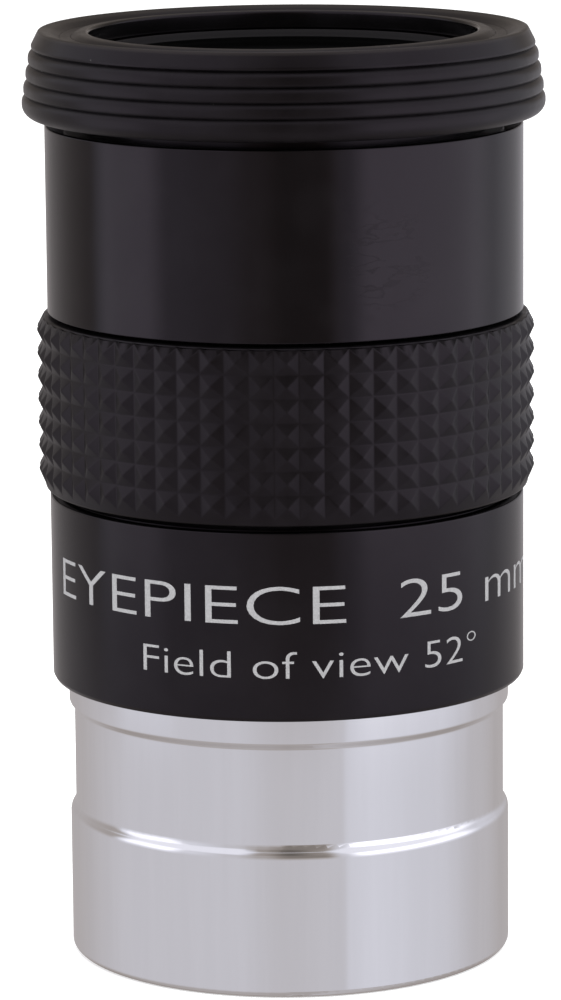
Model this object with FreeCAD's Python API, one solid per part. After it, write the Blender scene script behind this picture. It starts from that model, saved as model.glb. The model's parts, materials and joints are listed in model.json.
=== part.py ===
import FreeCAD
import Part
import math
import os

from FreeCAD import Vector

# Telescope eyepiece: a plated push-fit barrel that screws into a black housing, four lenses in a
# cell, a rubber grip sleeve and a rubber eye guard that is stored folded down.
# Millimetres. The origin is the centre of the barrel's open end, and +Z is the optical axis, up
# to the eye. Outlines of turned pieces are lists of corners: (radius, height, rounding).

# ---- Outside ----
BARREL_R = 15.85              # 1.25 inch push fit, 31.70 mm across
UNDERCUT_R = 15.48            # safety undercut, where the focuser's clamp screw grips
UNDERCUT_BOTTOM_Z = 10.23
UNDERCUT_TOP_Z = 18.2
UNDERCUT_LOW_SLOPE = 0.44     # axial length of the slope at the undercut's lower end
UNDERCUT_HIGH_SLOPE = 0.4     # and at its upper end
HOUSING_R = 16.96
HOUSING_BOTTOM_Z = 20.08      # the shoulder that stops against the focuser
GRIP_BOTTOM_Z = 33.37
GRIP_TOP_Z = 46.45
SHOULDER_Z = 59.8             # top of the full-width housing, below the eye guard
RIM_Z = 65.0                  # top rim of the housing and of the lens cell
GUARD_TOP_Z = 66.45

# ---- Thread that joins the barrel to the housing ----
PITCH = 0.75
MALE_ROOT_R = 14.50
MALE_CREST_R = 14.90
FEMALE_CREST_R = 14.62
FEMALE_ROOT_R = 15.02
RIDGE_ROOT_WIDTH = 0.52       # axial width of the male ridge at its root and at its crest
RIDGE_CREST_WIDTH = 0.12
FLANK_CLEARANCE = 0.09        # axial, on each flank
MALE_THREAD_Z = 21.2          # height of the male ridge's first turn
MALE_THREAD_LENGTH = 4.1
TURNS_BELOW = 2               # the female groove starts this many pitches below the male ridge
FEMALE_THREAD_LENGTH = 6.0
THREAD_RELIEF_Z = 25.65       # end of the female thread, where its bore widens
OVERRUN = 0.05                # how far a ridge or a groove's cutter passes into or out of its wall

# ---- Filter thread in the barrel's open end, M28.5 x 0.6 ----
FILTER_PITCH = 0.6
FILTER_CREST_R = 13.95
FILTER_ROOT_R = 14.25
FILTER_DEPTH = 4.5
FILTER_GROOVE_WIDTH = 0.47
FILTER_ROOT_WIDTH = 0.1
FILTER_RELIEF = 0.6           # plain length between the thread's end and the wider bore

# ---- Inside the barrel ----
BARREL_BORE_R = 13.5
SPIGOT_TOP_Z = 29.2
STOP_Z = 26.8                 # focal plane
STOP_APERTURE_R = 11.3
STOP_THICKNESS = 1.0
STOP_LEDGE_R = 12.6
STOP_LEDGE_THICKNESS = 1.2
STOP_SEAT_R = 13.4
STOP_FIT = 0.05               # radial, so that the loose stop ring drops in

# ---- Optics: two cemented doublets, with their crowns facing each other ----
LENS_R = 11.0
FIELD_LENS_Z = 45.0           # outer flat face of the field doublet
INNER_CURVE = 19.8            # radius of the crowns' facing surfaces
CEMENTED_CURVE = 31.6
CROWN_EDGE = 1.2
FLINT_CENTRE = 1.8
CEMENT = 0.02
VERTEX_GAP = 0.5              # between the two crowns, on the axis
SPACER_WALL = 0.7

# ---- Lens cell ----
CELL_R = 12.6
CELL_END_R = 12.0             # threaded lower end, which takes the lock ring
CELL_BOTTOM_Z = 42.9
CELL_FLANGE_R = 13.1
CELL_MOUTH_R = 12.55          # bore above the eye lens, bevelled at the top rim
CELL_MOUTH_BEVEL = 0.3
CELL_FLANGE_Z = 64.1
CELL_LEDGE_R = 10.3
EYE_RING_R = 11.8
EYE_RING_APERTURE_R = 10.4
EYE_RING_HEIGHT = 1.2
HOUSING_LEDGE_Z = 44.6        # the lock ring is drawn up against it
HOUSING_BORE_R = 13.9
LOCK_RING_RECESS = 0.3        # from the cell's lower end up to its lock ring
SPANNER_SLOT_WIDTH = 1.6
SPANNER_SLOT_DEPTH = 0.6
ASSEMBLY_GAP = 0.02           # left between fixed neighbours

# ---- Rubber grip sleeve ----
GRIP_SEAT_R = 16.1
GRIP_VALLEY_R = 17.34
GRIP_TIP_R = 17.77
GRIP_ROWS = 7
GRIP_COLUMNS = 63
GRIP_FIRST_ROW_Z = 34.4
GRIP_LAST_ROW_Z = 46.08

# ---- Rubber eye guard ----
NECK_R = 14.3
NECK_GROOVE_R = 13.75
NECK_GROOVE_BOTTOM_Z = 61.6
NECK_GROOVE_TOP_Z = 63.0
GUARD_BOTTOM_Z = 60.25
GUARD_OPENING_R = 13.7
COLLAR_R = 15.0
WALL_INNER_R = 15.15
WALL_OUTER_R = 15.60
WALL_ROOT_Z = 60.7            # where the thin wall grows out of the collar's foot
WALL_TOP_Z = 66.0
SKIRT_INNER_R = 15.80
SKIRT_GAP_Z = 65.2            # underside of the skirt's top flange
SKIRT_WALL_INNER_R = 17.2
RIB_CREST_R = [17.82, 18.04, 18.22, 18.39, 18.53]
RIB_PITCH = 1.06
FIRST_RIB_BOTTOM_Z = 65.13
RIB_GROOVE_DEPTH = 0.22


def rounded_wire(corners):
    """A closed wire in the XZ plane through (radius, height, rounding) corners."""
    count = len(corners)
    points = [Vector(c[0], 0, c[1]) for c in corners]
    roundings = [c[2] if len(c) > 2 else 0.0 for c in corners]
    bends = []
    for i in range(count):
        here = points[i]
        if roundings[i] <= 0:
            bends.append((here, None, here))
            continue
        back = (points[i - 1] - here).normalize()
        ahead = (points[(i + 1) % count] - here).normalize()
        half = back.getAngle(ahead) / 2
        reach = roundings[i] / math.tan(half)
        inward = (back + ahead).normalize()
        middle = here + inward * (roundings[i] / math.sin(half) - roundings[i])
        bends.append((here + back * reach, middle, here + ahead * reach))
    edges = []
    for i in range(count):
        start, middle, end = bends[i]
        if middle is not None:
            edges.append(Part.Arc(start, middle, end).toShape())
        next_start = bends[(i + 1) % count][0]
        if end.distanceToPoint(next_start) > 1e-6:
            edges.append(Part.LineSegment(end, next_start).toShape())
    return Part.Wire(edges)


def turned(corners):
    """The solid made by turning a cornered outline once round the optical axis."""
    face = Part.Face(rounded_wire(corners))
    return face.revolve(Vector(0, 0, 0), Vector(0, 0, 1), 360)


def turned_edges(edges):
    """The solid made by turning a closed loop of edges in the XZ plane."""
    face = Part.Face(Part.Wire(edges))
    return face.revolve(Vector(0, 0, 0), Vector(0, 0, 1), 360)


def helical_ridge(pitch, inner, outer, inner_width, outer_width, bottom, length):
    """A right-handed ridge of trapezium section that climbs from bottom by length."""
    helix = Part.makeHelix(pitch, length, inner)
    helix.translate(Vector(0, 0, bottom))
    section = Part.makePolygon([
        Vector(inner, 0, bottom - inner_width / 2),
        Vector(outer, 0, bottom - outer_width / 2),
        Vector(outer, 0, bottom + outer_width / 2),
        Vector(inner, 0, bottom + inner_width / 2),
        Vector(inner, 0, bottom - inner_width / 2),
    ])
    return Part.Wire(helix.Edges).makePipeShell([section], True, True)


def cut_away(body, groove):
    """The body less a thread groove, refused if the cut took nothing away."""
    result = body.cut(groove)
    if body.Volume - result.Volume < 0.3 * groove.Volume:
        raise SystemExit("a thread groove wasn't cut")
    return result


def ridge_width(radius):
    """Axial width of the male ridge at a radius, with its flanks carried on."""
    slope = (RIDGE_ROOT_WIDTH - RIDGE_CREST_WIDTH) / (MALE_CREST_R - MALE_ROOT_R)
    return RIDGE_ROOT_WIDTH - slope * (radius - MALE_ROOT_R)


def spanner_slots(outer, face_z, into):
    """Two opposite slots for a pin spanner, as one box across a whole ring.

    The slots start at the ring's flat face and run into it: down for -1, up for +1.
    """
    margin = 1.0
    low = min(face_z + into * SPANNER_SLOT_DEPTH, face_z - into * margin)
    corner = Vector(-outer - margin, -SPANNER_SLOT_WIDTH / 2, low)
    return Part.makeBox(2 * (outer + margin), SPANNER_SLOT_WIDTH, SPANNER_SLOT_DEPTH + margin, corner)


def sag(curve, height):
    """How far a sphere falls away from its vertex plane at a height off the axis."""
    return curve - math.sqrt(curve ** 2 - height ** 2)


# ---- Heights that follow from the driving dimensions ----
CROWN_CENTRE = CROWN_EDGE + sag(INNER_CURVE, LENS_R) + sag(CEMENTED_CURVE, LENS_R)
DOUBLET_CENTRE = CROWN_CENTRE + CEMENT + FLINT_CENTRE
LENS_MIDDLE_Z = FIELD_LENS_Z + DOUBLET_CENTRE + VERTEX_GAP / 2
EYE_LENS_Z = 2 * LENS_MIDDLE_Z - FIELD_LENS_Z
CELL_BORE_R = LENS_R + ASSEMBLY_GAP


def make_barrel():
    """Plated barrel: safety undercut, filter thread, field-stop seat and male thread."""
    body = turned([
        (FILTER_CREST_R + 0.5, 0.0),
        (BARREL_R, 0.0, 0.45),
        (BARREL_R, UNDERCUT_BOTTOM_Z, 0.75),
        (UNDERCUT_R, UNDERCUT_BOTTOM_Z + UNDERCUT_LOW_SLOPE, 0.75),
        (UNDERCUT_R, UNDERCUT_TOP_Z - UNDERCUT_HIGH_SLOPE, 0.3),
        (BARREL_R, UNDERCUT_TOP_Z, 0.3),
        (BARREL_R, HOUSING_BOTTOM_Z - ASSEMBLY_GAP, 0.12),
        (MALE_ROOT_R, HOUSING_BOTTOM_Z - ASSEMBLY_GAP),
        (MALE_ROOT_R, SPIGOT_TOP_Z, 0.25),
        (STOP_SEAT_R, SPIGOT_TOP_Z),
        (STOP_SEAT_R, STOP_Z),
        (STOP_LEDGE_R, STOP_Z),
        (STOP_LEDGE_R, STOP_Z - STOP_LEDGE_THICKNESS),
        (BARREL_BORE_R, STOP_Z - STOP_LEDGE_THICKNESS - 1.0),
        (BARREL_BORE_R, FILTER_DEPTH + FILTER_RELIEF + 0.3),
        (FILTER_CREST_R, FILTER_DEPTH + FILTER_RELIEF),
        (FILTER_CREST_R, 0.5),
    ])
    ridge = helical_ridge(
        PITCH, MALE_ROOT_R - OVERRUN, MALE_CREST_R,
        ridge_width(MALE_ROOT_R - OVERRUN), RIDGE_CREST_WIDTH, MALE_THREAD_Z, MALE_THREAD_LENGTH)
    groove = helical_ridge(
        FILTER_PITCH, FILTER_CREST_R - OVERRUN, FILTER_ROOT_R,
        FILTER_GROOVE_WIDTH, FILTER_ROOT_WIDTH, -FILTER_PITCH / 2, FILTER_DEPTH)
    return cut_away(body, groove).fuse(ridge)


def make_field_stop():
    """Thin knife-edged ring in the focal plane that edges the view."""
    low = STOP_Z + ASSEMBLY_GAP
    high = low + STOP_THICKNESS
    return turned([
        (STOP_APERTURE_R, low),
        (STOP_SEAT_R - STOP_FIT, low),
        (STOP_SEAT_R - STOP_FIT, high),
        (STOP_APERTURE_R + 0.9, high),
        (STOP_APERTURE_R, low + 0.12),
    ])


def make_field_stop_lock_ring():
    """Ring that screws down on the field stop, with two spanner slots."""
    low = STOP_Z + STOP_THICKNESS + 2 * ASSEMBLY_GAP
    high = SPIGOT_TOP_Z - 0.25
    ring = turned([
        (STOP_LEDGE_R - 0.1, low),
        (STOP_SEAT_R - ASSEMBLY_GAP, low),
        (STOP_SEAT_R - ASSEMBLY_GAP, high, 0.1),
        (STOP_LEDGE_R - 0.1, high, 0.1),
    ])
    return ring.cut(spanner_slots(STOP_SEAT_R, high, -1))


def make_housing():
    """Black body: female thread, bores for barrel and cell, grip seat and eye-guard neck."""
    body = turned([
        (FEMALE_CREST_R + 0.35, HOUSING_BOTTOM_Z),
        (HOUSING_R - 0.13, HOUSING_BOTTOM_Z, 0.05),
        (HOUSING_R, HOUSING_BOTTOM_Z + 0.25, 0.1),
        (HOUSING_R, GRIP_BOTTOM_Z, 0.12),
        (GRIP_SEAT_R, GRIP_BOTTOM_Z),
        (GRIP_SEAT_R, GRIP_TOP_Z),
        (HOUSING_R, GRIP_TOP_Z, 0.12),
        (HOUSING_R, SHOULDER_Z, 0.15),
        (NECK_R, SHOULDER_Z),
        (NECK_R, NECK_GROOVE_BOTTOM_Z),
        (NECK_GROOVE_R, NECK_GROOVE_BOTTOM_Z + 0.2),
        (NECK_GROOVE_R, NECK_GROOVE_TOP_Z - 0.2),
        (NECK_R, NECK_GROOVE_TOP_Z),
        (NECK_R, RIM_Z, 0.2),
        (CELL_FLANGE_R + ASSEMBLY_GAP, RIM_Z, 0.1),
        (CELL_FLANGE_R + ASSEMBLY_GAP, CELL_FLANGE_Z),
        (CELL_R + ASSEMBLY_GAP, CELL_FLANGE_Z),
        (CELL_R + ASSEMBLY_GAP, HOUSING_LEDGE_Z),
        (HOUSING_BORE_R, HOUSING_LEDGE_Z),
        (HOUSING_BORE_R, SPIGOT_TOP_Z + 2.0),
        (FEMALE_ROOT_R + 0.1, SPIGOT_TOP_Z + 0.8),
        (FEMALE_ROOT_R + 0.1, THREAD_RELIEF_Z + 0.5),
        (FEMALE_CREST_R, THREAD_RELIEF_Z),
        (FEMALE_CREST_R, HOUSING_BOTTOM_Z + 0.35),
    ])
    inner = FEMALE_CREST_R - OVERRUN
    groove = helical_ridge(
        PITCH, inner, FEMALE_ROOT_R,
        ridge_width(inner) + 2 * FLANK_CLEARANCE,
        ridge_width(FEMALE_ROOT_R) + 2 * FLANK_CLEARANCE,
        MALE_THREAD_Z - TURNS_BELOW * PITCH, FEMALE_THREAD_LENGTH)
    return cut_away(body, groove)


def make_lens_cell():
    """Tube that holds the four lenses, dropped into the housing from the eye end."""
    ring_top = EYE_LENS_Z + EYE_RING_HEIGHT
    return turned([
        (CELL_LEDGE_R, CELL_BOTTOM_Z, 0.15),
        (CELL_END_R - ASSEMBLY_GAP, CELL_BOTTOM_Z, 0.15),
        (CELL_END_R - ASSEMBLY_GAP, HOUSING_LEDGE_Z + 0.4),
        (CELL_R, HOUSING_LEDGE_Z + 0.4),
        (CELL_R, CELL_FLANGE_Z + ASSEMBLY_GAP),
        (CELL_FLANGE_R, CELL_FLANGE_Z + ASSEMBLY_GAP),
        (CELL_FLANGE_R, RIM_Z, 0.1),
        (CELL_MOUTH_R + CELL_MOUTH_BEVEL, RIM_Z, 0.05),
        (CELL_MOUTH_R, RIM_Z - 1.5 * CELL_MOUTH_BEVEL, 0.05),
        (CELL_MOUTH_R, ring_top + 0.5),
        (EYE_RING_R, ring_top + 0.3),
        (EYE_RING_R, EYE_LENS_Z),
        (CELL_BORE_R, EYE_LENS_Z),
        (CELL_BORE_R, FIELD_LENS_Z - ASSEMBLY_GAP),
        (CELL_LEDGE_R, FIELD_LENS_Z - ASSEMBLY_GAP),
    ])


def make_cell_lock_ring():
    """Nut on the lower end of the cell, drawn up against the housing's ledge."""
    low = CELL_BOTTOM_Z + LOCK_RING_RECESS
    ring = turned([
        (CELL_END_R, low, 0.1),
        (HOUSING_BORE_R - 0.3, low, 0.1),
        (HOUSING_BORE_R - 0.3, HOUSING_LEDGE_Z - ASSEMBLY_GAP),
        (CELL_END_R, HOUSING_LEDGE_Z - ASSEMBLY_GAP),
    ])
    return ring.cut(spanner_slots(HOUSING_BORE_R, low, 1))


def arc_to(start, curve, centre_z, end):
    """The arc of a sphere centred on the axis, between two points of an outline."""
    radius = (start[0] + end[0]) / 2
    side = 1 if start[1] > centre_z else -1
    middle = (radius, centre_z + side * math.sqrt(curve ** 2 - radius ** 2))
    return Part.Arc(*[Vector(p[0], 0, p[1]) for p in (start, middle, end)]).toShape()


def line_to(start, end):
    """The straight edge between two points of an outline."""
    return Part.LineSegment(Vector(start[0], 0, start[1]), Vector(end[0], 0, end[1])).toShape()


def flint_blank():
    """Plano-concave lens with its flat face at height 0 and its hollow facing up."""
    centre_z = FLINT_CENTRE + CEMENTED_CURVE
    axis_low = (0, 0)
    edge_low = (LENS_R, 0)
    edge_high = (LENS_R, FLINT_CENTRE + sag(CEMENTED_CURVE, LENS_R))
    axis_high = (0, FLINT_CENTRE)
    return turned_edges([
        line_to(axis_low, edge_low),
        line_to(edge_low, edge_high),
        arc_to(edge_high, CEMENTED_CURVE, centre_z, axis_high),
        line_to(axis_high, axis_low),
    ])


def crown_blank():
    """Biconvex lens that fits the flint's hollow, in the same frame as the flint."""
    cemented_z = FLINT_CENTRE + CEMENT
    top_z = cemented_z + CROWN_CENTRE
    axis_low = (0, cemented_z)
    edge_low = (LENS_R, cemented_z + sag(CEMENTED_CURVE, LENS_R))
    edge_high = (LENS_R, top_z - sag(INNER_CURVE, LENS_R))
    axis_high = (0, top_z)
    return turned_edges([
        arc_to(axis_low, CEMENTED_CURVE, cemented_z + CEMENTED_CURVE, edge_low),
        line_to(edge_low, edge_high),
        arc_to(edge_high, INNER_CURVE, top_z - INNER_CURVE, axis_high),
        line_to(axis_high, axis_low),
    ])


def at_field_end(blank):
    """A lens in the field doublet, its outer face down at the field end."""
    blank.translate(Vector(0, 0, FIELD_LENS_Z))
    return blank


def at_eye_end(blank):
    """A lens in the eye doublet, turned over so that its outer face is up at the eye end."""
    blank.rotate(Vector(0, 0, 0), Vector(1, 0, 0), 180)
    blank.translate(Vector(0, 0, EYE_LENS_Z))
    return blank


def make_lens_spacer():
    """Thin tube whose inner edges rest on the two crowns."""
    inner = LENS_R - SPACER_WALL
    half = VERTEX_GAP / 2 + sag(INNER_CURVE, inner) - ASSEMBLY_GAP
    return turned([
        (inner, LENS_MIDDLE_Z - half),
        (LENS_R, LENS_MIDDLE_Z - half),
        (LENS_R, LENS_MIDDLE_Z + half),
        (inner, LENS_MIDDLE_Z + half),
    ])


def make_eye_lens_ring():
    """Ring that screws down on the eye lens, with two spanner slots and a bevelled opening."""
    low = EYE_LENS_Z + ASSEMBLY_GAP
    high = EYE_LENS_Z + EYE_RING_HEIGHT
    ring = turned([
        (EYE_RING_APERTURE_R, low),
        (EYE_RING_R - ASSEMBLY_GAP, low),
        (EYE_RING_R - ASSEMBLY_GAP, high, 0.1),
        (EYE_RING_APERTURE_R + 0.5, high, 0.1),
        (EYE_RING_APERTURE_R, high - 0.6),
    ])
    return ring.cut(spanner_slots(EYE_RING_R, high, -1))


def make_grip_sleeve():
    """Rubber sleeve stretched over the housing, moulded with rows of four-sided pyramids."""
    step = 2 * math.pi / GRIP_COLUMNS
    rise = (GRIP_LAST_ROW_Z - GRIP_FIRST_ROW_Z) / GRIP_ROWS

    def point(radius, column, z):
        angle = (column - 0.5) * step - math.pi / 2
        return Vector(radius * math.cos(angle), radius * math.sin(angle), z)

    levels = [(GRIP_SEAT_R + 0.5, GRIP_BOTTOM_Z + 0.06), (GRIP_VALLEY_R - 0.1, GRIP_BOTTOM_Z + 0.5)]
    levels += [(GRIP_VALLEY_R, GRIP_FIRST_ROW_Z + rise * row) for row in range(GRIP_ROWS + 1)]
    levels += [(GRIP_SEAT_R + 0.8, GRIP_TOP_Z - 0.1)]
    faces = []
    for low, high in zip(levels, levels[1:]):
        for column in range(GRIP_COLUMNS):
            corners = [
                point(low[0], column, low[1]),
                point(low[0], column + 1, low[1]),
                point(high[0], column + 1, high[1]),
                point(high[0], column, high[1]),
            ]
            if low[0] != high[0]:
                faces.append(Part.Face(Part.makePolygon(corners + corners[:1])))
                continue
            tip = point(GRIP_TIP_R, column + 0.5, (low[1] + high[1]) / 2)
            for a, b in zip(corners, corners[1:] + corners[:1]):
                faces.append(Part.Face(Part.makePolygon([a, b, tip, a])))
    for radius, z in (levels[0], levels[-1]):
        outline = [point(radius, column, z) for column in range(GRIP_COLUMNS)]
        faces.append(Part.Face(Part.makePolygon(outline + outline[:1])))
    shell = Part.Shell(faces)
    shell.sewShape()
    bore_height = levels[-1][1] - levels[0][1] + 2
    bore = Part.makeCylinder(GRIP_SEAT_R, bore_height, Vector(0, 0, levels[0][1] - 1))
    return Part.Solid(shell).cut(bore)


def make_guard_collar():
    """Inner ring of the eye guard: its bead sits in the neck's groove, its lip on the rim."""
    return turned([
        (NECK_R, GUARD_BOTTOM_Z),
        (WALL_OUTER_R, GUARD_BOTTOM_Z, 0.15),
        (WALL_OUTER_R, WALL_ROOT_Z),
        (COLLAR_R, WALL_ROOT_Z),
        (COLLAR_R, WALL_TOP_Z + 0.05),
        (GUARD_OPENING_R + 0.75, GUARD_TOP_Z - 0.1, 0.3),
        (GUARD_OPENING_R, GUARD_TOP_Z - 0.35, 0.3),
        (GUARD_OPENING_R, RIM_Z + ASSEMBLY_GAP),
        (NECK_R, RIM_Z + ASSEMBLY_GAP),
        (NECK_R, NECK_GROOVE_TOP_Z),
        (NECK_GROOVE_R + 0.05, NECK_GROOVE_TOP_Z - 0.25),
        (NECK_GROOVE_R + 0.05, NECK_GROOVE_BOTTOM_Z + 0.25),
        (NECK_R, NECK_GROOVE_BOTTOM_Z),
    ])


def make_guard_wall():
    """Thin inner wall of the folded guard, which stretches as the guard is raised."""
    return turned([
        (WALL_INNER_R, WALL_ROOT_Z),
        (WALL_OUTER_R, WALL_ROOT_Z),
        (WALL_OUTER_R, WALL_TOP_Z),
        (WALL_INNER_R, WALL_TOP_Z),
    ])


def make_guard_skirt():
    """Ribbed outer skirt of the guard, folded down over the neck."""
    outline = [
        (SKIRT_INNER_R, SKIRT_GAP_Z, 0.2),
        (SKIRT_INNER_R, WALL_TOP_Z),
        (SKIRT_INNER_R + 0.6, GUARD_TOP_Z, 0.4),
        (RIB_CREST_R[0] - 0.52, GUARD_TOP_Z, 0.18),
    ]
    groove_z = FIRST_RIB_BOTTOM_Z
    for crest, next_crest in zip(RIB_CREST_R, RIB_CREST_R[1:]):
        outline.append((crest, groove_z + 0.22, 0.2))
        outline.append((crest - RIB_GROOVE_DEPTH, groove_z))
        outline.append((next_crest - 0.04, groove_z - 0.3, 0.25))
        groove_z -= RIB_PITCH
    outline += [
        (RIB_CREST_R[-1], GUARD_BOTTOM_Z + 1.0, 0.6),
        (RIB_CREST_R[-1] - 0.5, GUARD_BOTTOM_Z + 0.1, 0.4),
        (SKIRT_WALL_INNER_R, GUARD_BOTTOM_Z + 0.1, 0.3),
        (SKIRT_WALL_INNER_R - 0.5, SKIRT_GAP_Z, 0.3),
    ]
    return turned(outline)


PARTS = {
    "barrel": make_barrel,
    "field_stop": make_field_stop,
    "field_stop_lock_ring": make_field_stop_lock_ring,
    "housing": make_housing,
    "lens_cell": make_lens_cell,
    "cell_lock_ring": make_cell_lock_ring,
    "field_flint_lens": lambda: at_field_end(flint_blank()),
    "field_crown_lens": lambda: at_field_end(crown_blank()),
    "lens_spacer": make_lens_spacer,
    "eye_crown_lens": lambda: at_eye_end(crown_blank()),
    "eye_flint_lens": lambda: at_eye_end(flint_blank()),
    "eye_lens_ring": make_eye_lens_ring,
    "grip_sleeve": make_grip_sleeve,
    "guard_collar": make_guard_collar,
    "guard_wall": make_guard_wall,
    "guard_skirt": make_guard_skirt,
}


def main():
    os.makedirs("parts", exist_ok=True)
    for name, make in PARTS.items():
        shape = make()
        solids = shape.Solids
        if not shape.isValid() or len(solids) != 1 or solids[0].Volume <= 0:
            raise SystemExit(f"{name} isn't one valid solid")
        solids[0].exportStep(os.path.join("parts", name + ".step"))
        print(f"{name}: {solids[0].Volume / 1000:.3f} cm3")


main()
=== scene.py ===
import json
import math

import bmesh
import bpy
from mathutils import Matrix, Vector

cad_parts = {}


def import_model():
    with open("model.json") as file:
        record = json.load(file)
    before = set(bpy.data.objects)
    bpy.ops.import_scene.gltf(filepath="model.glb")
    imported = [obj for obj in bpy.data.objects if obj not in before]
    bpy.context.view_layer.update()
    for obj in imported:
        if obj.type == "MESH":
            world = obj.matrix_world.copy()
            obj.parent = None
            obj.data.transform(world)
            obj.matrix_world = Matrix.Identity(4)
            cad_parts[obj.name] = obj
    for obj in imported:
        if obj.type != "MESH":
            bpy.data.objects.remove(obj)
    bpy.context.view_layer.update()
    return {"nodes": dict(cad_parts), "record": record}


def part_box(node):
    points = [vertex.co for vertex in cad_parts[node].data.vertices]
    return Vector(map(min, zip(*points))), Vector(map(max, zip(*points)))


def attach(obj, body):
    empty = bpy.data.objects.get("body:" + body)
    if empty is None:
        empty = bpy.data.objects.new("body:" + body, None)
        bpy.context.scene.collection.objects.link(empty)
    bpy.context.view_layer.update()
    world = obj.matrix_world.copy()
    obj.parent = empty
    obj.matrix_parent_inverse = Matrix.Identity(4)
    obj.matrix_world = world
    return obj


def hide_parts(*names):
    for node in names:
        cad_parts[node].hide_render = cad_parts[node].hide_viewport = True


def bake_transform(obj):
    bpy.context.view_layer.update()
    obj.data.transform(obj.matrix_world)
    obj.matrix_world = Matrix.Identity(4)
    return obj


# Telescope eyepiece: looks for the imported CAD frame. The CAD nodes keep their shape and get
# materials. The rubber grip and the three parts of the rubber eye guard are built here in full
# detail, and a generic printed marking goes on the housing. Outlines are in millimetres.

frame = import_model()

MM = 0.001
FRONT = -math.pi / 2          # azimuth of -Y, the printed side


def radius_of(name):
    """Outer radius of a turned CAD node, in millimetres."""
    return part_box(name)[1].x / MM


def low_of(name):
    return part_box(name)[0].z / MM


def high_of(name):
    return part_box(name)[1].z / MM


HOUSING_R = radius_of("housing")
HOUSING_BOTTOM_Z = low_of("housing")
RIM_Z = high_of("housing")
GRIP_LOW_Z = low_of("grip_sleeve")
GRIP_HIGH_Z = high_of("grip_sleeve")
GRIP_TIP_R = radius_of("grip_sleeve")
GUARD_FOOT_Z = low_of("guard_collar")
WALL_ROOT_Z = low_of("guard_wall")
WALL_TOP_Z = high_of("guard_wall")
GUARD_TOP_Z = high_of("guard_skirt")
BARREL_R = radius_of("barrel")


# ---- Meshes ----

ARC_STEP_DEGREES = 9.0        # fineness of a rounded corner
LATHE_STEPS = 256             # round the axis
SHARP_DEGREES = 50.0          # a corner of a turned piece sharper than this gets a crisp edge


def new_piece(mesh, material, body):
    """A mesh object with the given material. It rides on a body if one is given."""
    piece = bpy.data.objects.new(mesh.name, mesh)
    bpy.context.scene.collection.objects.link(piece)
    mesh.materials.append(material)
    if body:
        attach(piece, body)
    return piece


def rounded(corners):
    """Points of a closed outline of (radius, height, rounding) corners; a pair is a sharp corner."""
    count = len(corners)
    at = [Vector((c[0], c[1])) for c in corners]
    points = []
    for i, corner in enumerate(corners):
        if len(corner) == 2:
            points.append(at[i])
            continue
        rounding = corner[2]
        back = (at[i - 1] - at[i]).normalized()
        ahead = (at[(i + 1) % count] - at[i]).normalized()
        half = back.angle(ahead) / 2
        centre = at[i] + (back + ahead).normalized() * (rounding / math.sin(half))
        start = at[i] + back * (rounding / math.tan(half)) - centre
        turn = start.angle_signed(at[i] + ahead * (rounding / math.tan(half)) - centre)
        steps = max(2, math.ceil(abs(math.degrees(turn)) / ARC_STEP_DEGREES))
        for step in range(steps + 1):
            spun = start.copy()
            spun.rotate(Matrix.Rotation(-turn * step / steps, 2))
            points.append(centre + spun)
    return [(p.x, p.y) for p in points]


def lathe(name, outline):
    """A ring whose section is a closed outline of (radius, height) points in millimetres."""
    made = bmesh.new()
    rings = []
    for step in range(LATHE_STEPS):
        angle = 2 * math.pi * step / LATHE_STEPS
        c, s = math.cos(angle) * MM, math.sin(angle) * MM
        rings.append([made.verts.new((r * c, r * s, z * MM)) for r, z in outline])
    count = len(outline)
    for ring, following in zip(rings, rings[1:] + rings[:1]):
        for i in range(count):
            j = (i + 1) % count
            made.faces.new((ring[i], ring[j], following[j], following[i]))
    bmesh.ops.recalc_face_normals(made, faces=made.faces[:])
    mesh = bpy.data.meshes.new(name)
    made.to_mesh(mesh)
    made.free()
    mesh.polygons.foreach_set("use_smooth", [True] * len(mesh.polygons))
    mesh.set_sharp_from_angle(angle=math.radians(SHARP_DEGREES))
    return mesh


# ---- Materials ----

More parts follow.
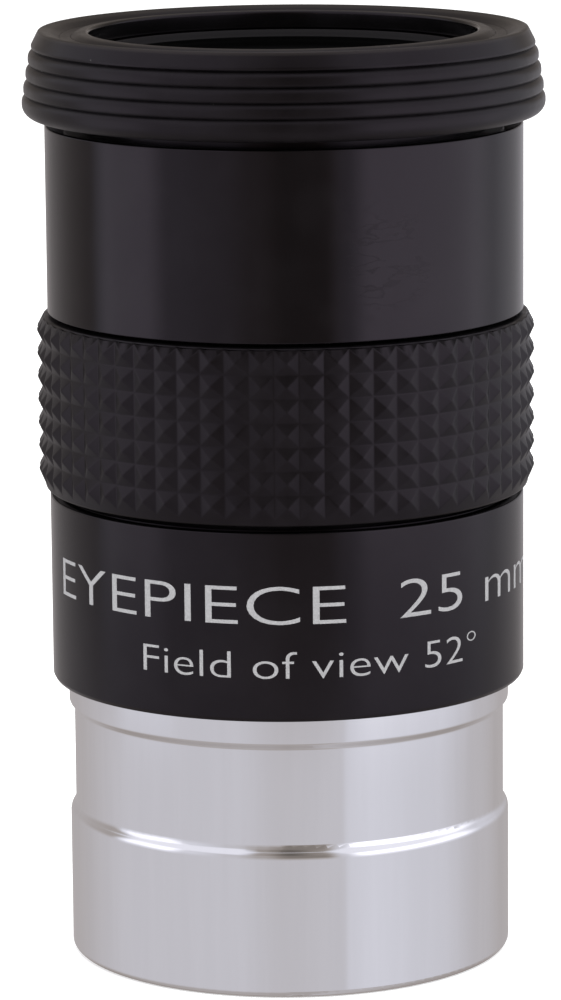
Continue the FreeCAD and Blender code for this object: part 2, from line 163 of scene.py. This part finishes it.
class Shade:
    """Short calls that build one material's node tree. Lengths in it are metres."""

    def __init__(self, name):
        self.material = bpy.data.materials.new(name)
        self.material.use_nodes = True
        self.tree = self.material.node_tree
        self.tree.nodes.clear()

    def feed(self, socket, value):
        if isinstance(value, bpy.types.NodeSocket):
            self.tree.links.new(value, socket)
        else:
            socket.default_value = value

    def node(self, kind, inputs=None, **settings):
        made = self.tree.nodes.new("ShaderNode" + kind)
        for key, value in settings.items():
            setattr(made, key, value)
        for key, value in (inputs or {}).items():
            self.feed(made.inputs[key], value)
        return made

    def math(self, operation, *values):
        made = self.node("Math", operation=operation)
        for socket, value in zip(made.inputs, values):
            self.feed(socket, value)
        return made.outputs[0]

    def place(self):
        """Position in the row frame."""
        return self.node("TexCoord").outputs["Object"]

    def height(self):
        return self.node("SeparateXYZ", {"Vector": self.place()}).outputs["Z"]

    def bearing(self):
        """Angle round the axis in radians: 0 at the printed side, positive towards +X."""
        parts = self.node("SeparateXYZ", {"Vector": self.place()}).outputs
        return self.math("ARCTAN2", parts["X"], self.math("MULTIPLY", parts["Y"], -1.0))

    def round_the_axis(self, radius, along, up):
        """Texture position on a turned face: arc length scaled by along, height scaled by up."""
        arc = self.math("MULTIPLY", self.bearing(), radius * along)
        rise = self.math("MULTIPLY", self.height(), up)
        return self.node("CombineXYZ", {"X": arc, "Z": rise}).outputs[0]

    def noise(self, scale, detail=2.0, roughness=0.5, where=None):
        inputs = {"Vector": where or self.place(), "Scale": scale, "Detail": detail, "Roughness": roughness}
        return self.node("TexNoise", inputs).outputs["Fac"]

    def span(self, value, low, high, at_low=0.0, at_high=1.0):
        """Smooth step of value from low to high."""
        inputs = {"Value": value, "From Min": low, "From Max": high, "To Min": at_low, "To Max": at_high}
        return self.node("MapRange", inputs, interpolation_type="SMOOTHSTEP").outputs["Result"]

    def profile(self, where, stops, low, high, top):
        """Follows a few (position, level) stops between low and high, with soft changes."""
        share = self.node("MapRange", {"Value": where, "From Min": low, "From Max": high}).outputs["Result"]
        ramp = self.node("ValToRGB", {"Fac": share})
        ramp.color_ramp.interpolation = "EASE"
        elements = ramp.color_ramp.elements
        elements.remove(elements[1])
        for i, (position, level) in enumerate(stops):
            place = (position - low) / (high - low)
            element = elements.new(place) if i else elements[0]
            element.position = place
            element.color = grey(level / top)
        return self.math("MULTIPLY", self.node("SeparateColor", {"Color": ramp.outputs[0]}).outputs[0], top)

    def mix(self, factor, first, second):
        made = self.node("Mix", data_type="RGBA")
        self.feed(made.inputs[0], factor)
        self.feed(made.inputs[6], first)
        self.feed(made.inputs[7], second)
        return made.outputs[2]

    def dust(self, cell, size, share):
        """1 on small scattered specks: one in every few cells of a Voronoi pattern."""
        cells = self.node("TexVoronoi", {"Vector": self.place(), "Scale": 1.0 / cell})
        chance = self.node("SeparateColor", {"Color": cells.outputs["Color"]}).outputs[0]
        near = self.math("LESS_THAN", cells.outputs["Distance"], size / cell)
        return self.math("MULTIPLY", near, self.math("LESS_THAN", chance, share))

    def bump(self, height, distance, normal=None):
        inputs = {"Height": height, "Distance": distance, "Strength": 1.0}
        if normal:
            inputs["Normal"] = normal
        return self.node("Bump", inputs).outputs[0]

    def finish(self, inputs):
        shader = self.node("BsdfPrincipled", inputs)
        self.node("OutputMaterial", {"Surface": shader.outputs[0]})
        return self.material


def grey(value, tint=(1.0, 1.0, 1.0)):
    return (value * tint[0], value * tint[1], value * tint[2], 1.0)


def chrome_plate():
    """Bright plating over a turned surface: faint turning marks, upright wipe marks and haze."""
    s = Shade("chrome_plate")
    turning = s.noise(1.0, 3.0, 0.6, s.round_the_axis(BARREL_R * MM, 60.0, 22000.0))
    wipes = s.noise(1.0, 3.0, 0.6, s.round_the_axis(BARREL_R * MM, 700.0, 40.0))
    haze = s.noise(140.0, 3.0, 0.5)
    colour = s.mix(s.span(wipes, 0.35, 0.7), grey(0.895, (1.0, 1.0, 1.02)), grey(0.915, (1.0, 1.0, 1.02)))
    roughness = s.math("ADD", s.span(haze, 0.3, 0.75, 0.04, 0.07), s.span(wipes, 0.55, 0.75, 0.0, 0.02))
    normal = s.bump(turning, 1.2e-7, s.bump(wipes, 3e-7))
    return s.finish({"Base Color": colour, "Metallic": 1.0, "Roughness": roughness, "Normal": normal})


BLACK_GLOSS_TINT = (1.0, 0.85, 0.98, 1.0)
SMUDGE_BEARING = 25.0         # degrees from the front
SMUDGE_Z = 52.0               # millimetres


def black_anodising():
    """Glossy black anodised aluminium with faint turning marks, a finger smudge and lint."""
    s = Shade("black_anodising")
    turning = s.noise(1.0, 3.0, 0.6, s.round_the_axis(HOUSING_R * MM, 40.0, 16000.0))
    cloud = s.noise(170.0, 5.0, 0.62)
    pores = s.noise(26000.0, 2.0)
    lint = s.dust(0.0016, 0.00004, 0.06)
    bearing = math.radians(SMUDGE_BEARING)
    spot = (HOUSING_R * MM * math.sin(bearing), -HOUSING_R * MM * math.cos(bearing), SMUDGE_Z * MM)
    away = s.node("VectorMath", {0: s.place(), 1: spot}, operation="DISTANCE").outputs["Value"]
    streaks = s.noise(1.0, 3.0, 0.6, s.round_the_axis(HOUSING_R * MM, 170.0, 520.0))
    ridge = s.math("ABSOLUTE", s.math("SUBTRACT", streaks, 0.5))
    touched = s.math("MULTIPLY", s.span(away, 0.0020, 0.0062, 1.0, 0.0), s.span(ridge, 0.004, 0.03, 1.0, 0.0))
    dark = s.mix(s.span(cloud, 0.4, 0.7), grey(0.0016, (1.0, 0.92, 0.98)), grey(0.0030, (1.0, 0.93, 1.0)))
    colour = s.mix(lint, dark, grey(0.20))
    rough = s.math("ADD", s.span(cloud, 0.35, 0.75, 0.10, 0.14), s.math("MULTIPLY", lint, 0.5))
    roughness = s.math("ADD", rough, s.math("MULTIPLY", touched, 0.20))
    normal = s.bump(turning, 2.0e-7, s.bump(pores, 5e-8))
    return s.finish({"Base Color": colour, "Roughness": roughness, "IOR": 1.375,
                     "Specular Tint": BLACK_GLOSS_TINT, "Normal": normal})


def matt_black():
    """Dead black inner parts, with fine anti-reflection ridges and a painted highlight on the bevel at the
    eye end.
    """
    s = Shade("matt_black")
    ridges = s.math("SINE", s.math("MULTIPLY", s.height(), 2 * math.pi / (0.35 * MM)))
    grain = s.noise(18000.0, 3.0)
    # Painted highlight: above bevel_z the rim's top bevel is painted a lighter grey, standing in for the
    # light that falls on it.
    bevel_z = (RIM_Z - 0.48) * MM
    rubbing_and_lit_bevel = s.span(s.height(), bevel_z, bevel_z + 0.03 * MM)
    dark = s.mix(s.span(grain, 0.3, 0.7), grey(0.0006), grey(0.0016))
    colour = s.mix(rubbing_and_lit_bevel, dark, grey(0.010, (1.0, 0.93, 1.0)))
    roughness = s.span(grain, 0.3, 0.7, 0.50, 0.66)
    normal = s.bump(ridges, 4e-6, s.bump(grain, 3e-6))
    return s.finish({"Base Color": colour, "Roughness": roughness, "IOR": 1.3,
                     "Specular IOR Level": 0.12, "Normal": normal})


def grip_rubber():
    """Moulded black rubber of the grip: fine grain, patchy tone and scattered dust specks."""
    s = Shade("grip_rubber")
    grain = s.noise(16000.0, 3.0, 0.6)
    rubbing_and_lit_bevel = s.noise(420.0, 4.0, 0.6)
    specks = s.dust(0.0011, 0.000045, 0.07)
    dark = s.mix(s.span(rubbing_and_lit_bevel, 0.35, 0.7), grey(0.0016, (1.0, 0.92, 0.95)), grey(0.0032, (1.0, 0.93, 1.0)))
    colour = s.mix(specks, dark, grey(0.16))
    roughness = s.math("ADD", s.span(rubbing_and_lit_bevel, 0.3, 0.75, 0.30, 0.40), s.span(grain, 0.4, 0.8, 0.0, 0.08))
    normal = s.bump(grain, 4e-6)
    return s.finish({"Base Color": colour, "Roughness": roughness, "IOR": 1.34,
                     "Specular Tint": BLACK_GLOSS_TINT, "Normal": normal})


def guard_rubber():
    """Softer black rubber of the eye guard, moulded in a turned tool, with bloom and dust, and a warm painted
    highlight along its top face.
    """
    s = Shade("guard_rubber")
    grain = s.noise(20000.0, 3.0, 0.6)
    bloom = s.noise(240.0, 5.0, 0.65)
    specks = s.dust(0.0012, 0.000045, 0.06)
    dark = s.mix(s.span(bloom, 0.35, 0.7), grey(0.0020, (1.0, 0.91, 0.94)), grey(0.0036, (1.0, 0.93, 1.0)))
    # Painted highlight: the top 0.1 to 0.3 mm of the guard is painted a lighter warm brown, where overhead
    # light catches its top face.
    painted_top_highlight = s.mix(s.span(s.height(), (GUARD_TOP_Z - 0.30) * MM, (GUARD_TOP_Z - 0.10) * MM), dark,
                 grey(0.012, (1.0, 0.88, 0.78)))
    colour = s.mix(specks, painted_top_highlight, grey(0.16))
    moulded = s.math("ADD", s.span(bloom, 0.3, 0.75, 0.30, 0.40), s.span(grain, 0.4, 0.8, 0.0, 0.08))
    place = s.node("SeparateXYZ", {"Vector": s.place()}).outputs
    radius = s.math("SQRT", s.math("ADD", s.math("POWER", place["X"], 2.0), s.math("POWER", place["Y"], 2.0)))
    roughness = s.span(radius, 13.75 * MM, 14.0 * MM, 0.12, moulded)
    normal = s.bump(grain, 3e-6)
    round_axis = s.node("Tangent", direction_type="RADIAL", axis="Z").outputs[0]
    return s.finish({"Base Color": colour, "Roughness": roughness, "IOR": 1.335,
                     "Specular Tint": BLACK_GLOSS_TINT, "Anisotropic": 0.8, "Anisotropic Rotation": 0.25,
                     "Tangent": round_axis, "Normal": normal})


def coated_glass(name, ior, tint):
    """Optical glass with a thin anti-reflection film and a little lens-cloth haze."""
    s = Shade(name)
    haze = s.noise(500.0, 5.0, 0.7)
    inputs = {
        "Base Color": tint,
        "Roughness": s.span(haze, 0.5, 0.85, 0.0, 0.02),
        "IOR": ior,
        "Transmission Weight": 1.0,
        "Thin Film Thickness": 125.0,
        "Thin Film IOR": 1.38,
        "Normal": s.bump(haze, 2e-8),
    }
    return s.finish(inputs)


def marking_ink():
    """Matt light grey screen-printing ink, a little uneven."""
    s = Shade("marking_ink")
    grain = s.noise(9000.0, 3.0, 0.6)
    colour = s.mix(s.span(grain, 0.3, 0.7), grey(0.27, (1.0, 0.99, 1.02)), grey(0.36, (1.0, 0.99, 1.02)))
    return s.finish({"Base Color": colour, "Roughness": s.span(grain, 0.3, 0.7, 0.45, 0.6),
                     "Normal": s.bump(grain, 2e-6)})


# ---- Rubber grip ----

GRIP_COLUMNS = 63
GRIP_ROWS = 7
GRIP_FIRST_ROW_Z = 34.4
GRIP_LAST_ROW_Z = 46.08
GRIP_VALLEY_R = 17.34
GRIP_SEAT_R = 16.12


def grip_sleeve(material):
    """Sleeve with rows of four-sided pyramids, softened by a small bevel."""
    made = bmesh.new()
    half_step = math.pi / GRIP_COLUMNS
    row_height = (GRIP_LAST_ROW_Z - GRIP_FIRST_ROW_Z) / GRIP_ROWS

    def point(radius, half_columns, z):
        angle = FRONT + (half_columns - 1) * half_step
        return made.verts.new((radius * math.cos(angle) * MM, radius * math.sin(angle) * MM, z * MM))

    def ring(radius, z):
        return [point(radius, i, z) for i in range(2 * GRIP_COLUMNS)]

    def band(low, high):
        for i in range(2 * GRIP_COLUMNS):
            j = (i + 1) % (2 * GRIP_COLUMNS)
            made.faces.new((low[i], low[j], high[j], high[i]))

    rows = [ring(GRIP_VALLEY_R, GRIP_FIRST_ROW_Z + row_height * row) for row in range(GRIP_ROWS + 1)]
    for row, (low, high) in enumerate(zip(rows, rows[1:])):
        middle_z = GRIP_FIRST_ROW_Z + row_height * (row + 0.5)
        for column in range(GRIP_COLUMNS):
            left, centre, right = 2 * column, 2 * column + 1, (2 * column + 2) % (2 * GRIP_COLUMNS)
            tip = point(GRIP_TIP_R, centre, middle_z)
            outline = [low[left], low[centre], low[right], high[right], high[centre], high[left]]
            for a, b in zip(outline, outline[1:] + outline[:1]):
                made.faces.new((a, b, tip))
    rims = [
        ring(GRIP_VALLEY_R - 0.05, GRIP_HIGH_Z - 0.19),
        ring(GRIP_VALLEY_R - 0.22, GRIP_HIGH_Z - 0.12),
        ring(GRIP_SEAT_R + 0.35, GRIP_HIGH_Z - 0.10),
        ring(GRIP_SEAT_R, GRIP_HIGH_Z),
        ring(GRIP_SEAT_R, GRIP_LOW_Z),
        ring(GRIP_SEAT_R + 0.20, GRIP_LOW_Z + 0.02),
        ring(GRIP_SEAT_R + 0.35, GRIP_LOW_Z + 0.38),
        ring(GRIP_VALLEY_R - 0.28, GRIP_LOW_Z + 0.40),
        ring(GRIP_VALLEY_R - 0.08, GRIP_LOW_Z + 0.54),
    ]
    loops = [rows[-1]] + rims + [rows[0]]
    for low, high in zip(loops, loops[1:]):
        band(low, high)
    bmesh.ops.recalc_face_normals(made, faces=made.faces[:])
    mesh = bpy.data.meshes.new("grip_pyramids")
    made.to_mesh(mesh)
    made.free()
    mesh.polygons.foreach_set("use_smooth", [True] * len(mesh.polygons))
    piece = new_piece(mesh, material, "housing")
    soften = piece.modifiers.new("soften", "BEVEL")
    soften.width = 0.15 * MM
    soften.segments = 2
    soften.limit_method = "ANGLE"
    soften.angle_limit = math.radians(18)
    flats = piece.modifiers.new("flats", "WEIGHTED_NORMAL")
    flats.keep_sharp = True
    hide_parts("grip_sleeve")


# ---- Rubber eye guard ----

NECK_R = 14.32
GUARD_OPENING_R = 13.70
COLLAR_R = 15.00
WALL_R = 15.60
SKIRT_INNER_R = 15.80
SKIRT_WALL_INNER_R = 17.2
SKIRT_GAP_Z = 65.2
SKIRT_BOTTOM_Z = GUARD_FOOT_Z + 0.1
RIB_CREST_R = [17.82, 18.04, 18.22, 18.39, 18.52]
FIRST_GROOVE_BELOW_TOP = 1.33
RIB_PITCH = 1.062
RIB_GROOVE_Z = [GUARD_TOP_Z - FIRST_GROOVE_BELOW_TOP - RIB_PITCH * rib for rib in range(4)]
RIB_GROOVE_DEPTH = 0.18
BOTTOM_TUCK = 0.95            # how far the last rib curls in under its crest


def guard_collar(material):
    """Inner ring of the guard: the lip round the opening and the bead in the neck's groove."""
    outline = rounded([
        (NECK_R, GUARD_FOOT_Z, 0.08),
        (WALL_R, GUARD_FOOT_Z, 0.15),
        (WALL_R, WALL_ROOT_Z - 0.02, 0.05),
        (COLLAR_R, WALL_ROOT_Z - 0.02),
        (COLLAR_R, WALL_TOP_Z, 0.02),
        (14.55, GUARD_TOP_Z - 0.16, 0.8),
        (GUARD_OPENING_R, GUARD_TOP_Z - 0.13, 0.22),
        (GUARD_OPENING_R, RIM_Z + 0.03, 0.1),
        (NECK_R, RIM_Z + 0.03),
        (NECK_R, 63.0),
        (13.85, 62.7),
        (13.85, 61.9),
        (NECK_R, 61.6),
    ])
    piece = new_piece(lathe("guard_collar_ring", outline), material, "housing")
    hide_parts("guard_collar")


def guard_wall(material):
    """Thin wall that joins the collar's foot to the skirt, in its rest shape; it rides on no body and does
    not stretch as the guard is raised.
    """
    levels = 48
    heights = [WALL_ROOT_Z + (WALL_TOP_Z - WALL_ROOT_Z) * i / levels for i in range(levels)]
    plain = [z for z in heights if z < 65.15]
    top = rounded([
        (COLLAR_R + 0.01, 65.2),
        (COLLAR_R + 0.01, WALL_TOP_Z, 0.02),
        (15.42, WALL_TOP_Z - 0.06, 0.6),
        (SKIRT_INNER_R - 0.01, WALL_TOP_Z, 0.02),
        (SKIRT_INNER_R - 0.01, WALL_TOP_Z - 0.2, 0.1),
        (WALL_R, WALL_TOP_Z - 0.5, 0.2),
        (WALL_R, 65.2),
    ])
    outline = [(COLLAR_R + 0.01, z) for z in plain] + top + [(WALL_R, z) for z in reversed(plain)]
    piece = new_piece(lathe("guard_inner_wall", outline), material, None)
    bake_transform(piece)
    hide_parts("guard_wall")


def lobe(top_z, bottom_z, top_r, crest_r, bottom_r, crest_share, steps, tuck_power):
    """Outline of one moulded rib: a quick rise to its crest, then a tuck underneath."""
    points = []
    for step in range(1, steps):
        t = step / steps
        z = top_z + (bottom_z - top_z) * t
        if t < crest_share:
            r = top_r + (crest_r - top_r) * (1 - (1 - t / crest_share) ** 4)
        else:
            tuck = (t - crest_share) / (1 - crest_share)
            r = bottom_r + (crest_r - bottom_r) * (1 - tuck ** 2) ** tuck_power
        points.append((r, z))
    points.append((bottom_r, bottom_z))
    return points


def guard_skirt(material):
    """Ribbed skirt of the guard, folded down over the neck."""
    outline = rounded([
        (SKIRT_WALL_INNER_R - 0.5, SKIRT_GAP_Z, 0.3),
        (SKIRT_INNER_R, SKIRT_GAP_Z, 0.15),
        (SKIRT_INNER_R, WALL_TOP_Z, 0.02),
        (SKIRT_INNER_R + 0.70, GUARD_TOP_Z - 0.14, 0.8),
        (RIB_CREST_R[0] - 0.75, GUARD_TOP_Z, 0.3),
        (RIB_CREST_R[0] - 0.52, GUARD_TOP_Z - 0.03, 0.14),
        (RIB_CREST_R[0], RIB_GROOVE_Z[0] + 0.28, 0.3),
        (RIB_CREST_R[0] - 0.03, RIB_GROOVE_Z[0] + 0.12, 0.05),
    ])
    groove_r = RIB_CREST_R[0] - RIB_GROOVE_DEPTH
    outline.append((groove_r, RIB_GROOVE_Z[0]))
    for crest, high, low in zip(RIB_CREST_R[1:-1], RIB_GROOVE_Z, RIB_GROOVE_Z[1:]):
        outline += lobe(high, low, groove_r, crest, crest - RIB_GROOVE_DEPTH, 0.74, 14, 1.0)
        groove_r = crest - RIB_GROOVE_DEPTH
    last = RIB_CREST_R[-1]
    outline += lobe(RIB_GROOVE_Z[-1], SKIRT_BOTTOM_Z, groove_r, last, last - BOTTOM_TUCK, 0.42, 28, 0.5)
    outline.append((SKIRT_WALL_INNER_R + 0.1, SKIRT_BOTTOM_Z))
    outline.append((SKIRT_WALL_INNER_R, SKIRT_BOTTOM_Z + 0.1))
    piece = new_piece(lathe("guard_ribbed_skirt", outline), material, "guard_skirt")
    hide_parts("guard_skirt")


# ---- Printed marking ----

INK_BELOW = 0.004
INK_ABOVE = 0.012


def marking(name, text, baseline_z, cap_height, start_degrees, end_degrees, material):
    """One line of generic lettering, wrapped round the lower housing, as a thin film of ink."""
    curve = bpy.data.curves.new(name, "FONT")
    curve.body = text
    curve.extrude = 0.5
    curve.offset = -0.012        # thinner strokes
    curve.resolution_u = 6
    flat = bpy.data.objects.new(name + "_flat", curve)
    bpy.context.scene.collection.objects.link(flat)
    bpy.context.view_layer.update()
    mesh = bpy.data.meshes.new_from_object(flat.evaluated_get(bpy.context.evaluated_depsgraph_get()))
    bpy.data.objects.remove(flat)
    letters = bmesh.new()
    letters.from_mesh(mesh)
    left = min(v.co.x for v in letters.verts)
    width = max(v.co.x for v in letters.verts) - left
    arc = math.radians(end_degrees - start_degrees) * HOUSING_R
    cap_share = 0.729            # cap height of the built-in font, as a share of its size
    for v in letters.verts:
        v.co.x = (v.co.x - left) * arc / width
        v.co.y *= cap_height / cap_share
    slices = int(arc / 0.3)
    for i in range(1, slices):
        everything = letters.verts[:] + letters.edges[:] + letters.faces[:]
        cut = (arc * i / slices, 0, 0)
        bmesh.ops.bisect_plane(letters, geom=everything, plane_co=cut, plane_no=(1, 0, 0))
    for v in letters.verts:
        angle = FRONT + math.radians(start_degrees) + v.co.x / HOUSING_R
        radius = HOUSING_R + (INK_ABOVE if v.co.z > 0 else -INK_BELOW)
        v.co = (radius * math.cos(angle) * MM, radius * math.sin(angle) * MM, (baseline_z + v.co.y) * MM)
    bmesh.ops.recalc_face_normals(letters, faces=letters.faces[:])
    letters.to_mesh(mesh)
    letters.free()
    mesh.name = name
    new_piece(mesh, material, "housing")


# ---- Studio, in metres ----

FLOOR_SIZE = 8.0
FLOOR_DROP = 0.00003
WORLD_LIGHT = 0.70            # what the surroundings shed; the camera sees them as white
LENS = 184.92                 # focal length in millimetres, on the usual 36 mm sensor
EYE_PLACE = (-0.000475, -0.3622, 0.102)
LOOKING_DOWN = 10.867         # degrees
ROLL = -0.517                 # degrees


def floor():
    """A large pale floor, a hair below the barrel's end so that the two faces don't coincide."""
    bpy.ops.mesh.primitive_plane_add(size=FLOOR_SIZE, location=(0, 0, -FLOOR_DROP))
    ground = bpy.context.active_object
    ground.name = "studio_floor"
    s = Shade("studio_floor")
    tone = s.mix(s.noise(3.0, 2.0), grey(0.90), grey(0.92))
    ground.data.materials.append(s.finish({"Base Color": tone, "Roughness": 0.9, "Specular IOR Level": 0.0,
                                           "Emission Color": grey(1.0), "Emission Strength": 0.33}))
    ground.visible_glossy = False


TENT_R = 0.114
TENT_FOOT = -0.10
TENT_WALL = 0.16
TENT_TOP = 0.24
NEARER = 0.935                # the object's own radius brings what it reflects nearer to the front

# What stands round the object, as (degrees from the front towards +X, light level): below the
# floor line, at the object's own height, and higher up. The dark gap is where the camera stands.
LOW_LIGHT = [(-160, 0.45), (-84, 0.58), (-28, 0.59), (-4, 0.55), (27, 0.57), (31, 0.65), (44, 0.69),
             (76, 0.64), (124, 0.51), (150, 0.45)]
LEVEL_LIGHT = [(-150, 0.44), (-108, 0.38), (-92, 1.18), (-70, 1.30), (-56, 0.70), (-30, 0.56),
               (-14, 0.40), (0, 0.22), (18, 0.24), (28, 0.62), (42, 1.48), (60, 1.48), (100, 1.26),
               (122, 0.66), (150, 0.56)]
HIGH_LIGHT = [(-150, 0.22), (-126, 0.70), (-108, 0.82), (-88, 0.88), (-32, 0.84), (-18, 0.34), (0, 0.14),
              (20, 0.28), (34, 0.84), (60, 0.92), (100, 0.90), (126, 0.74), (150, 0.22)]
BRIGHTEST = 1.6


def reflection_tent():
    """Soft boxes and a dark gap, seen only in reflections, as one closed screen."""
    made = bmesh.new()
    outline = [(TENT_R, TENT_FOOT + (TENT_WALL - TENT_FOOT) * i / 24) for i in range(25)]
    outline += [(TENT_R * math.cos(a), TENT_WALL + (TENT_TOP - TENT_WALL) * math.sin(a))
                for a in [math.pi / 2 * i / 12 for i in range(1, 12)]]
    rings = []
    for step in range(96):
        angle = 2 * math.pi * step / 96
        rings.append([made.verts.new((r * math.cos(angle), r * math.sin(angle), z)) for r, z in outline])
    for ring, following in zip(rings, rings[1:] + rings[:1]):
        for i in range(len(outline) - 1):
            made.faces.new((ring[i], ring[i + 1], following[i + 1], following[i]))
    made.faces.new([ring[-1] for ring in rings])
    made.faces.new([ring[0] for ring in rings])
    mesh = bpy.data.meshes.new("reflection_tent")
    made.to_mesh(mesh)
    made.free()
    tent = bpy.data.objects.new("reflection_tent", mesh)
    bpy.context.scene.collection.objects.link(tent)
    s = Shade("reflection_tent")
    azimuth = s.math("MULTIPLY", s.bearing(), math.degrees(1.0) / NEARER)
    height = s.height()
    low, level, high = [s.profile(azimuth, stops, -200, 200, BRIGHTEST)
                        for stops in (LOW_LIGHT, LEVEL_LIGHT, HIGH_LIGHT)]
    low = s.math("MULTIPLY", low, s.span(height, -0.085, -0.025, 0.72, 1.0))
    overhead = s.span(height, TENT_WALL * 0.9, TENT_TOP * 0.95)

    def blend(share, first, second):
        kept = s.math("MULTIPLY", first, s.math("SUBTRACT", 1.0, share))
        return s.math("ADD", kept, s.math("MULTIPLY", second, share))

    glow_level = blend(s.span(height, -0.012, 0.034), low, level)
    glow_level = blend(s.span(height, 0.055, 0.090), glow_level, high)
    glow_level = blend(overhead, glow_level, 0.80)
    tint = s.mix(s.span(glow_level, 0.2, 0.7), (1.0, 0.88, 0.80, 1.0), (0.98, 0.975, 1.06, 1.0))
    glow = s.node("Emission", {"Color": tint, "Strength": glow_level})
    s.node("OutputMaterial", {"Surface": glow.outputs[0]})
    mesh.materials.append(s.material)
    tent.visible_camera = False
    tent.visible_diffuse = False
    tent.visible_shadow = False
    tent.visible_transmission = False
    tent.visible_volume_scatter = False


def soft_box(name, place, size, power):
    """An area light aimed at the middle of the object, for the soft shading only."""
    light = bpy.data.lights.new(name, "AREA")
    light.shape = "SQUARE"
    light.size = size
    light.energy = power
    lamp = bpy.data.objects.new(name, light)
    lamp.location = place
    lamp.rotation_euler = (Vector((0, 0, 0.03)) - Vector(place)).to_track_quat("-Z", "Y").to_euler()
    lamp.visible_glossy = False
    lamp.visible_camera = False
    bpy.context.scene.collection.objects.link(lamp)


def world():
    """White surroundings for the camera, and even light from everywhere."""
    surroundings = bpy.data.worlds.new("studio")
    bpy.context.scene.world = surroundings
    surroundings.use_nodes = True
    tree = surroundings.node_tree
    tree.nodes.clear()
    path = tree.nodes.new("ShaderNodeLightPath")
    strength = tree.nodes.new("ShaderNodeMapRange")
    strength.inputs["To Min"].default_value = WORLD_LIGHT
    strength.inputs["To Max"].default_value = 1.0
    tree.links.new(path.outputs["Is Camera Ray"], strength.inputs["Value"])
    background = tree.nodes.new("ShaderNodeBackground")
    tree.links.new(strength.outputs["Result"], background.inputs["Strength"])
    output = tree.nodes.new("ShaderNodeOutputWorld")
    tree.links.new(background.outputs[0], output.inputs["Surface"])


def camera():
    """The photograph's view: from the front, a little above, through a long lens."""
    data = bpy.data.cameras.new("camera")
    data.lens = LENS
    data.sensor_width = 36.0
    data.clip_start = 0.01
    eye = bpy.data.objects.new("camera", data)
    pitch = Matrix.Rotation(math.radians(90 - LOOKING_DOWN), 4, "X")
    roll = Matrix.Rotation(math.radians(ROLL), 4, "Z")
    eye.matrix_world = Matrix.Translation(EYE_PLACE) @ pitch @ roll
    bpy.context.scene.collection.objects.link(eye)
    bpy.context.scene.camera = eye


def paint_frame(materials):
    """Gives every CAD node the material of its record slot."""
    for part in frame["record"]["subparts"]:
        node = frame["nodes"][part["node"]]
        material = materials[part["material_slot"]]
        if not node.material_slots:
            node.data.materials.append(material)
        for holder in node.material_slots:
            holder.material = material


camera()
world()
floor()
reflection_tent()
soft_box("key_light", (0.5, -0.5, 0.7), 0.5, 5.0)
soft_box("fill_light", (-0.6, -0.3, 0.5), 0.5, 3.0)
soft_box("top_light", (0.0, 0.3, 1.0), 0.8, 6.0)

materials = {
    "chrome": chrome_plate(),
    "black_anodised": black_anodising(),
    "matt_black": matt_black(),
    "rubber": grip_rubber(),
    "guard_rubber": guard_rubber(),
    "crown_glass": coated_glass("crown_glass", 1.52, (0.97, 1.0, 0.985, 1.0)),
    "flint_glass": coated_glass("flint_glass", 1.62, (0.98, 0.99, 0.97, 1.0)),
}
paint_frame(materials)
grip_sleeve(materials["rubber"])
guard_collar(materials["guard_rubber"])
guard_wall(materials["guard_rubber"])
guard_skirt(materials["guard_rubber"])
ink = marking_ink()
marking("marking_focal_length", "EYEPIECE  25 mm", 26.95, 2.9, -69.5, 84.0, ink)
marking("marking_field", "Field of view 52°", 23.15, 2.05, -36.5, 50.5, ink)

bpy.context.scene.view_settings.view_transform = "Standard"
